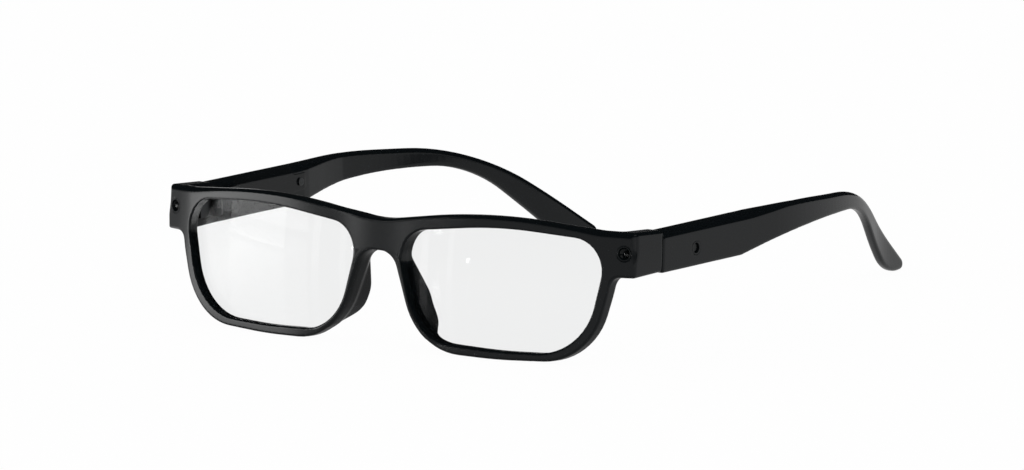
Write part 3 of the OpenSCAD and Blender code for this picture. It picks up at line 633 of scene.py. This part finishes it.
def front_field(f, t, p, step):
    """Field of the whole front in its leaning frame, and its grid's origin."""
    eye, outline = front_outlines(f, p)
    low = np.array((-p.half_w, 0, p.rim_bottom)) - MARGIN * step
    high = np.array((p.half_w, f.seam_y, f.brow_h)) + MARGIN * step
    x, y, h, X, Y, H = grid(low, high, step)
    up_z = H * math.cos(f.lean) - Y * math.sin(f.lean)
    # Each smooth() says between which two places, in millimetres, a size or an edge changes.
    face = sag(x, f, p)[:, None]
    slope = np.gradient(face[:, 0], step)[:, None]
    depth = f.rim_d + f.bridge_extra * (1 - smooth(np.abs(x), 5, 14))[:, None]
    band = (np.abs(y[None, :] - face - depth / 2) - depth / 2) / np.sqrt(1 + slope ** 2)
    end_plan = rounded([(p.in_x, float(sag(p.in_x, f, p)) + 1.5, 0), (p.half_w + 2, f.seam_y - 8.5, 0),
                        (p.half_w + 2, f.seam_y + 2, 0), (p.in_x, f.seam_y + 2, 0)])
    plan = either(band, pair_field(end_plan, x, y), 1.6)
    side_edge = mix(f.edge_r, f.corner_r, smooth(np.abs(X), p.half_w - 4, p.half_w - 2))
    top_edge = mix(f.top_edge_r, f.end_edge_r, smooth(np.abs(X), 50, 64))
    edge = mix(mix(side_edge, top_edge, smooth(H, -5, -1)), f.back_edge_r, smooth(Y - face[:, :, None], 1.2, 2.2))
    on_rim = (1 - smooth(np.abs(x), p.open_x1 - 1, p.open_x1 + 2))[:, None]
    wide = outline_field(outline, x, h) - f.grow * on_rim * (1 - smooth(h, -2, 1))[None, :]
    body = both(wide[:, None, :], plan[:, :, None], edge)
    under = both(p.end_x - np.abs(X), up_z - p.arm_low, 2.2)
    body = both(body, -under, 0.6)
    body = either(body, pads_field(f, outline, x, y, h), 1.4)
    body = both(body, -pair_field(eye, x, h)[:, None, :], f.eye_edge_r)
    body = both(body, Y - f.seam_y, t.seam_edge_r)
    lining = 0.2
    hole = np.hypot(np.abs(X) - p.lamp_x, H + f.lamp_low) - f.recess_d / 2 - lining
    body = np.maximum(body, -np.maximum(hole, Y - float(sag(p.lamp_x, f, p)) - f.recess - lining))
    pin_low, pin_high = (corner - p.shift for corner in box_mm("contact_pads_left"))
    pin_r = (pin_high[0] - pin_low[0]) / 2
    for z in (pin_low[2] + pin_r, pin_high[2] - pin_r):
        pit = np.hypot(np.abs(X) - p.lamp_x, up_z - z) - pin_r - 0.05
        body = both(body, -np.maximum(pit, f.seam_y - 1 - Y), 0.06)
    return body, low


def lean_back(points, f, p):
    """Points from the front's leaning frame into the part's frame."""
    c, s = math.cos(f.lean), math.sin(f.lean)
    x, y, h = points.T
    return np.stack([x, y * c + h * s - p.mid_y, h * c - y * s + p.lift], 1)


class GLASSES_OT_front(bpy.types.Operator):
    """Moulds the front: bridge, rims, end pieces and nose pads"""

    bl_idname = "glasses.front"
    bl_label = "Front"

    def execute(self, context):
        f, t, p = sizes()
        step = FRONT_STEPS[bool(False)]
        field, origin = front_field(f, t, p, step)
        points, faces = skin(field, origin, step)
        put_mesh("front_moulding", lean_back(points, f, p), faces, plastic(), "front",
                 "front_frame")
        return {"FINISHED"}


# ---- the temples ----


def turned_in(y, t):
    """How far a temple's outer face has turned in at a distance y from the seam, and its slope there."""
    a, b = t.turn_a, t.turn_a - t.back_a
    turn_y = t.turn_l + t.turn_r * math.sin(a)
    hold_y = turn_y + t.turn_straight
    back_y = hold_y + t.back_r * (math.sin(a) - math.sin(b))
    in_turn = t.turn_r * (1 - math.cos(a))
    in_hold = in_turn + t.turn_straight * math.tan(a)
    in_back = in_hold + t.back_r * (math.cos(b) - math.cos(a))
    if y < t.turn_l:
        return 0.0, 0.0
    if y < turn_y:
        angle = math.asin((y - t.turn_l) / t.turn_r)
        return t.turn_r * (1 - math.cos(angle)), angle
    if y < hold_y:
        return in_turn + (y - turn_y) * math.tan(a), a
    if y < back_y:
        angle = math.asin(math.sin(a) - (y - hold_y) / t.back_r)
        return in_hold + t.back_r * (math.cos(angle) - math.cos(a)), angle
    return in_back + (y - back_y) * math.tan(b), b


def temple_field(f, t, p, step, only=None):
    """Field of the temple on the +X side without the button's hole, its grid's origin and the grid's places;
    only names the lowest and highest Y wanted, for the housing's inner face."""
    side = rounded([
        (seam_at(p.arm_top, f) - 3, p.arm_top, 0), (p.arm_y + t.top_crest_l, p.arm_top - t.top_crest_drop, 236),
        (p.arm_y + t.bend_l, p.arm_top - t.bend_drop, 65), (p.arm_y + t.arm_l, -p.lift, 1.5),
        (p.arm_y + t.arm_l - t.tip_foot, -p.lift, 19.5),
        (p.arm_y + t.bend_l, p.arm_top - t.bend_drop - t.bend_h, 33),
        (p.arm_y + t.crest_l, p.arm_top - t.crest_low, 186),
        (p.arm_y + t.housing_l, p.arm_low - t.housing_drop, 5),
        (seam_at(p.arm_low, f) - 3, p.arm_low - t.low_drop, 0)])
    outer, inner = [], []
    for y in np.linspace(-5, t.arm_l + 4, 70):
        inwards, angle = turned_in(y, t)
        thick = t.arm_t + (t.neck_t - t.arm_t) * min(max((y - t.thin_l) / t.thin_run, 0), 1)
        outer.append((p.half_w - inwards, p.arm_y + y))
        inner.append((p.half_w - inwards - thick / math.cos(angle), p.arm_y + y))
    plan = np.array(outer + inner[::-1])
    low = np.array((min(plan[:, 0]), p.arm_y - 1.5, -p.lift)) - MARGIN * step
    high = np.array((p.half_w, p.arm_y + t.arm_l, p.arm_top)) + MARGIN * step
    if only:
        low[:2] = p.in_x - 2 * MARGIN * step, only[0]
        high[:2] = p.in_x + 3, only[1]
    x, y, z, X, Y, Z = grid(low, high, step)
    section = outline_field(side, y, z)
    filled = section < 0
    middle = np.where(filled.any(1), (filled * z[None, :]).sum(1) / np.maximum(filled.sum(1), 1), 0)
    along = y - p.arm_y
    top_edge = mix(t.top_edge_r, t.neck_edge_r, smooth(along, t.thin_l - 4, t.thin_l + t.thin_run))
    low_edge = mix(t.low_edge_r, t.neck_edge_r * 0.8, smooth(along, 70, 100))
    edge = mix(low_edge[:, None], top_edge[:, None], smooth(z[None, :] - middle[:, None], -0.8, 0.8))
    body = both(section[None, :, :], outline_field(plan, x, y)[:, :, None], edge[None, :, :])
    front = (f.seam_y + f.seam_gap / 2) - (Y * math.cos(f.lean) - Z * math.sin(f.lean))
    return both(body, front, t.seam_edge_r), low, (X, Y, Z)


class GLASSES_OT_temples(bpy.types.Operator):
    """Moulds both temples, with their housings, bends and tips"""

    bl_idname = "glasses.temples"
    bl_label = "Temples"

    def execute(self, context):
        f, t, p = sizes()
        step = TEMPLE_STEPS[bool(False)]
        field, origin, (x, y, z) = temple_field(f, t, p, step)
        low, high = (corner - p.shift for corner in box_mm("power_button_left"))
        button, lining, deep = (low + high) / 2, 0.2, 1.3
        hole = np.hypot(y - button[1], z - button[2]) - (high[1] - low[1]) / 2 + lining
        field = np.maximum(field, -np.maximum(hole, p.half_w - deep - x))
        points, faces = skin(field, origin, step)
        put_pair("temple_moulding", points + p.shift, faces, plastic(), "temple_", "temple_arm")
        return {"FINISHED"}


# ---- lenses, lamps, buttons and fittings ----


class GLASSES_OT_lenses(bpy.types.Operator):
    """Gives the lenses their clear finish"""

    bl_idname = "glasses.lenses"
    bl_label = "Lenses"

    def execute(self, context):
        finish = clear_material("clear_lens", finishes().lens, roughness=0.0, ior=1.1, coat=0.2)
        paint(pair("lens"), finish)
        for lens in pair("lens"):
            faces = frame["nodes"][lens].data.polygons
            faces.foreach_set("use_smooth", [True] * len(faces))
        return {"FINISHED"}


class GLASSES_OT_lamps(bpy.types.Operator):
    """Turns the LED domes, lines the lamps' recesses and finishes their boards"""

    bl_idname = "glasses.lamps"
    bl_label = "Lamps"

    def execute(self, context):
        f, _, p = sizes()
        resin = clear_material("lamp_resin", finishes().lamp, roughness=0.05, ior=1.5, coat=1.0)
        r, flange_r, flange = 1.1, 1.1 + 0.35, 0.55
        for side, _ in SIDES:
            low, high = box_mm(f"led_{side}")
            deep = high[1] - low[1]
            start = ((low[0] + high[0]) / 2, low[1] + 0.02, (low[2] + high[2]) / 2 + deep / 2 * math.sin(f.lean))
            dome = [(0, 0)] + [(r * math.sin(a), r - r * math.cos(a)) for a in np.linspace(0.15, math.pi / 2, 10)]
            dome += [(r, deep - flange - 0.05), (flange_r, deep - flange), (flange_r, deep - 0.1), (0, deep - 0.1)]
            points, faces = lathe(dome, start, (0, math.cos(f.lean), -math.sin(f.lean)))
            put_mesh(f"lamp_dome_{side}", points, faces, resin, "front", f"led_{side}")
        here, near = (float(sag(p.lamp_x + d, f, p)) for d in (0, 0.01))
        outward = Vector(((near - here) / 0.01, -1, 0)).normalized()
        spot = Vector((p.lamp_x, here, -f.lamp_low))
        points, faces = lathe(well(f.recess_d / 2, f.recess_d / 2 + 0.33, f.recess, True), spot, -outward)
        put_pair("lamp_well", lean_back(points, f, p), faces, plastic(), "front", out=-1)
        paint(pair("led_board"), material("board_resist", finishes().board, 0.45, grain=400.0))
        return {"FINISHED"}


class GLASSES_OT_buttons(bpy.types.Operator):
    """Turns the push buttons, with a rounded edge and a slight dish, and the edges of their holes"""

    bl_idname = "glasses.buttons"
    bl_label = "Buttons"

    def execute(self, context):
        p, c = sizes()[2], finishes()
        finish = material("button_satin", c.button, 0.2, grain=FINE_GRAIN, Specular_IOR_Level=c.gloss)
        flange, edge = 0.4, 0.15
        for side, sign in SIDES:
            low, high = box_mm(f"power_button_{side}")
            middle, tall, flange_r = (high + low) / 2, high[0] - low[0], (high[2] - low[2]) / 2
            r = flange_r - 0.45
            profile = [(0, 0), (flange_r, 0), (flange_r, flange), (r, flange), (r, tall - edge)]
            profile += [(r - edge + edge * math.cos(a), tall - edge + edge * math.sin(a))
                        for a in np.linspace(0.3, math.pi / 2, 5)]
            profile += [(r * 0.6, tall - 0.02), (r * 0.3, tall - 0.035), (0, tall - 0.04)]
            points, faces = lathe(profile, (low[0] if sign > 0 else high[0], *middle[1:]), (sign, 0, 0))
            put_mesh(f"button_cap_{side}", points, facing(faces, -1), finish, f"button_{side}",
                     f"power_button_{side}")
            lining = well(r + 0.07, r + 0.5, 1.2, False)
            points, faces = lathe(lining, (sign * p.half_w, *middle[1:]), (-sign, 0, 0))
            put_mesh(f"button_well_{side}", points, faces, plastic(), f"temple_{side}")
        return {"FINISHED"}


def crossed(u, v, crown=0.1, slot_half=0.15, slot_reach=0.75, slot_deep=0.07):
    """Height of a screw head with a crossed slot, at (u, v) from the middle of its face."""
    out = math.hypot(u, v)
    in_slot = min(abs(u), abs(v)) < slot_half and out < slot_reach
    return crown - crown * out ** 4 - (slot_deep if in_slot else 0)


class GLASSES_OT_covers(bpy.types.Operator):
    """Cuts the battery covers with their screw tabs, the end pieces' caps and the cover screws' heads"""

    bl_idname = "glasses.covers"
    bl_label = "Covers"

    def execute(self, context):
        f, t, p = sizes()
        c = finishes()
        finish = material("cover_moulding", c.cover, 0.16, grain=FINE_GRAIN, Specular_IOR_Level=c.gloss)
        steel = material("screw_steel", c.steel, 0.3, 1.0)
        (low, high), (cap_low, cap_high), (screw_low, screw_high) = (
            box_mm(f"{node}_left") for node in ("battery_cover", "endpiece_cap", "cover_screw"))
        head = (screw_low + screw_high) / 2
        tab_y, tab_low, tab_high = 2 * head[1] - high[1], head[2] - 2.2, head[2] + 2.2
        field, origin, (x, y, z) = temple_field(f, t, p, LID_STEP, (low[1] + p.mid_y - 1, high[1] + p.mid_y + 1))
        r, tab_r, inner_r, cap_r = 0.7, 1.0, 0.5, 0.5
        lid = rounded([
            (low[1], low[2], r), (low[1], high[2], r), (tab_y, high[2], r), (tab_y, tab_high, inner_r),
            (high[1], tab_high, tab_r), (high[1], tab_low, tab_r), (tab_y, tab_low, inner_r),
            (tab_y, low[2], r)]) - p.shift[1:]
        inset, bevel, thick = 0.04, 0.05, 2
        field = both(field - inset, outline_field(lid, y.ravel(), z.ravel())[None, :, :], bevel)
        points, faces = skin(np.maximum(field, x - p.in_x - thick), origin, LID_STEP)
        put_pair("battery_lid", points + p.shift, faces, finish, "temple_", "battery_cover")
        cap = [(cap_low[1], cap_low[2], cap_r), (cap_low[1], cap_high[2], cap_r),
               (cap_high[1], cap_high[2], cap_r), (cap_high[1], cap_low[2], cap_r)]
        points, faces = plate(cap, low[0] - 0.03, low[0] + 0.3, 0.06)
        put_pair("lamp_cap", points, faces, finish, "front", "endpiece_cap")
        (u, v, height), faces = round_face(1.0, crossed)
        points = np.column_stack([low[0] - inset - 0.3 * height, head[1] + u, head[2] + v])
        put_pair("cover_screw_head", points, faces, steel, "temple_", "cover_screw", out=-1)
        return {"FINISHED"}


class GLASSES_OT_fittings(bpy.types.Operator):
    """Finishes the hinges, hinge screws, contacts, cells and boards"""

    bl_idname = "glasses.fittings"
    bl_label = "Fittings"

    def execute(self, context):
        c = finishes()
        both_sides = {
            "hinge_steel": ("front_hinge_leaf temple_hinge_leaf", c.steel, 0.3, 1.0),
            "screw_steel": ("hinge_screw", c.steel, 0.3, 1.0),
            "cell_nickel": ("battery_cells", c.nickel, 0.18, 1.0),
            "contact_gilt": ("battery_contacts contact_pads contact_pins", c.gilt, 0.25, 1.0),
            "board_resist": ("circuit_board", c.board, 0.45, 0.0),
            "switch_black": ("switch_body", c.cover, 0.5, 0.0)}
        for name, (nodes, rgb, roughness, metal) in both_sides.items():
            paint(pair(*nodes.split()), material(name, rgb, roughness, metal))
        return {"FINISHED"}


# ---- the stage ----


def background_mix(tree, shown, lit):
    """Mixes what the camera, mirrors and glass see with what lights the object."""
    path = tree.nodes.new("ShaderNodeLightPath")
    seen = path.outputs["Is Camera Ray"]
    for other in ("Is Glossy Ray", "Is Transmission Ray"):
        seen = join(tree, "ShaderNodeMath", seen, path.outputs[other], operation="MAXIMUM")
    return join(tree, "ShaderNodeMixShader", seen, lit, shown)


def in_gloss(tree):
    """1 where light has met a glossy surface on its way, and else 0."""
    path = tree.nodes.new("ShaderNodeLightPath")
    return join(tree, "ShaderNodeMath", path.outputs["Glossy Depth"], 1.0, operation="MINIMUM")


def even_world(scene, s):
    """A world that lights evenly and looks white, but is dark above the horizon in the gloss."""
    world = scene.world or bpy.data.worlds.new("studio")
    scene.world = world
    world.use_nodes = True
    tree = world.node_tree
    nodes, links = tree.nodes, tree.links
    nodes.clear()
    shown, lit, out, place, way, brightness = (nodes.new(kind) for kind in (
        "ShaderNodeBackground", "ShaderNodeBackground", "ShaderNodeOutputWorld", "ShaderNodeTexCoord",
        "ShaderNodeSeparateXYZ", "ShaderNodeMix"))
    fill(shown, Color=(1, 1, 1, 1))
    fill(lit, Color=(1, 1, 1, 1), Strength=s.world)
    links.new(place.outputs["Generated"], way.inputs[0])
    # Bright up to the horizon and dark above it; in front of the object the edge lies a little higher.
    rise = join(tree, "ShaderNodeMapRange", way.outputs["Y"], -0.25, 0.0, 0.12, 0.0)
    height = join(tree, "ShaderNodeMath", way.outputs["Z"], rise, operation="SUBTRACT")
    dim = join(tree, "ShaderNodeMapRange", height, -0.02, 0.02, 0.3, s.overhead)
    fill(brightness, A=1.0)
    links.new(in_gloss(tree), brightness.inputs["Factor"])
    links.new(dim, brightness.inputs["B"])
    links.new(brightness.outputs["Result"], shown.inputs["Strength"])
    links.new(background_mix(tree, shown.outputs[0], lit.outputs[0]), out.inputs["Surface"])


def pale_floor(s, half=3.0):
    """A pale floor that keeps the object's shadow; in the gloss it glows unevenly with a painted pool of light."""
    paper = bpy.data.materials.new("studio_floor")
    paper.use_nodes = True
    tree = paper.node_tree
    nodes, links = tree.nodes, tree.links
    plain = nodes["Principled BSDF"]
    glow, painted_sheen, where, turned, pool = (nodes.new(kind) for kind in (
        "ShaderNodeEmission", "ShaderNodeBsdfPrincipled", "ShaderNodeTexCoord", "ShaderNodeTexGradient",
        "ShaderNodeValToRGB"))
    fill(plain, Base_Color=(0.9, 0.9, 0.9, 1), Roughness=0.9)
    fill(painted_sheen, Base_Color=(0.02, 0.02, 0.02, 1), Roughness=0.1, Emission_Color=(1, 1, 1, 1))
    turned.gradient_type = "RADIAL"
    while len(pool.color_ramp.elements) < len(POOL):
        pool.color_ramp.elements.new(0.5)
    for stop, (place, value) in zip(pool.color_ramp.elements, POOL):
        stop.position, stop.color = place, (value, value, value, 1)
    links.new(where.outputs["Object"], turned.inputs["Vector"])
    links.new(turned.outputs["Fac"], pool.inputs["Fac"])
    # Painted light: in the gloss the floor glows with this pool, though it is no lamp.
    bright = join(tree, "ShaderNodeMath", pool.outputs["Color"], s.floor_glow, operation="MULTIPLY")
    links.new(bright, painted_sheen.inputs["Emission Strength"])
    shown = join(tree, "ShaderNodeMixShader", 0.97, plain.outputs[0], glow.outputs[0])
    shown = join(tree, "ShaderNodeMixShader", in_gloss(tree), shown, painted_sheen.outputs[0])
    links.new(background_mix(tree, shown, plain.outputs[0]), nodes["Material Output"].inputs["Surface"])
    mesh = bpy.data.meshes.new("floor")
    mesh.from_pydata([(-half, -half, 0), (half, -half, 0), (half, half, 0), (-half, half, 0)], [], [(0, 1, 2, 3)])
    mesh.materials.append(paper)
    floor = linked("floor", mesh)
    floor.location.z = -0.0001


def area_light(name, place, aim, wide, tall, power):
    """A soft rectangular light."""
    data = bpy.data.lights.new(name, "AREA")
    data.shape, data.size, data.size_y, data.energy = "RECTANGLE", wide, tall, power
    lamp = linked(name, data)
    lamp.location = place
    lamp.rotation_euler = (Vector(aim) - Vector(place)).to_track_quat("-Z", "Y").to_euler()


def photo_camera(scene, s):
    """The camera, where the photograph was taken from."""
    data = bpy.data.cameras.new("view")
    camera = linked("view", data)
    data.sensor_fit, data.sensor_width = "HORIZONTAL", SENSOR_W
    data.lens = s.focal_px * SENSOR_W / PICTURE_W
    data.clip_end = 20
    a, e = s.azimuth, s.elevation
    ahead = Vector((-math.sin(a) * math.cos(e), math.cos(a) * math.cos(e), -math.sin(e)))
    right = Vector((math.cos(a), math.sin(a), 0))
    down = ahead.cross(right)
    across = math.cos(s.roll) * right + math.sin(s.roll) * down
    lower = -math.sin(s.roll) * right + math.cos(s.roll) * down
    pose = Matrix((across, -lower, -ahead)).transposed().to_4x4()
    pose.translation = Vector(s.aim) - ahead * s.distance
    camera.matrix_world = pose
    scene.camera = camera


class GLASSES_OT_stage(bpy.types.Operator):
    """Sets the pale floor, the soft lights and the camera"""

    bl_idname = "glasses.stage"
    bl_label = "Stage"

    def execute(self, context):
        scene, s = context.scene, context.scene.glasses_stage
        even_world(scene, s)
        pale_floor(s)
        for name, place, aim, wide, tall, part in LIGHTS:
            area_light(name, place, aim, wide, tall, part * getattr(s, name.split("_")[0]))
        photo_camera(scene, s)
        scene.view_settings.view_transform = "Standard"
        return {"FINISHED"}


class GLASSES_PT_panel(bpy.types.Panel):
    """Lists the pieces of the glasses"""

    bl_label = "Reading glasses"
    bl_idname = "GLASSES_PT_panel"
    bl_space_type = "VIEW_3D"
    bl_region_type = "UI"
    bl_category = "Glasses"

    def draw(self, context):
        for operator in OPERATORS:
            self.layout.operator(operator.bl_idname)
        for group in GROUPS:
            owner = getattr(context.scene, group)
            box = self.layout.box()
            for name in owner.__annotations__:
                box.prop(owner, name)


OPERATORS = (GLASSES_OT_front, GLASSES_OT_temples, GLASSES_OT_lenses, GLASSES_OT_lamps, GLASSES_OT_buttons,
             GLASSES_OT_covers, GLASSES_OT_fittings, GLASSES_OT_stage)
GROUPS = {"glasses_front": FrontSizes, "glasses_temple": TempleSizes, "glasses_finish": Finishes,
          "glasses_stage": StageSizes}


def register():
    for cls in (*GROUPS.values(), *OPERATORS, GLASSES_PT_panel):
        bpy.utils.register_class(cls)
    for name, group in GROUPS.items():
        setattr(bpy.types.Scene, name, PointerProperty(type=group))


def unregister():
    for name in GROUPS:
        delattr(bpy.types.Scene, name)
    for cls in (GLASSES_PT_panel, *reversed(OPERATORS), *reversed(tuple(GROUPS.values()))):
        bpy.utils.unregister_class(cls)


def main():
    register()
    for operator in OPERATORS:
        getattr(bpy.ops.glasses, operator.bl_idname.split(".")[1])()


if __name__ == "__main__":
    main()
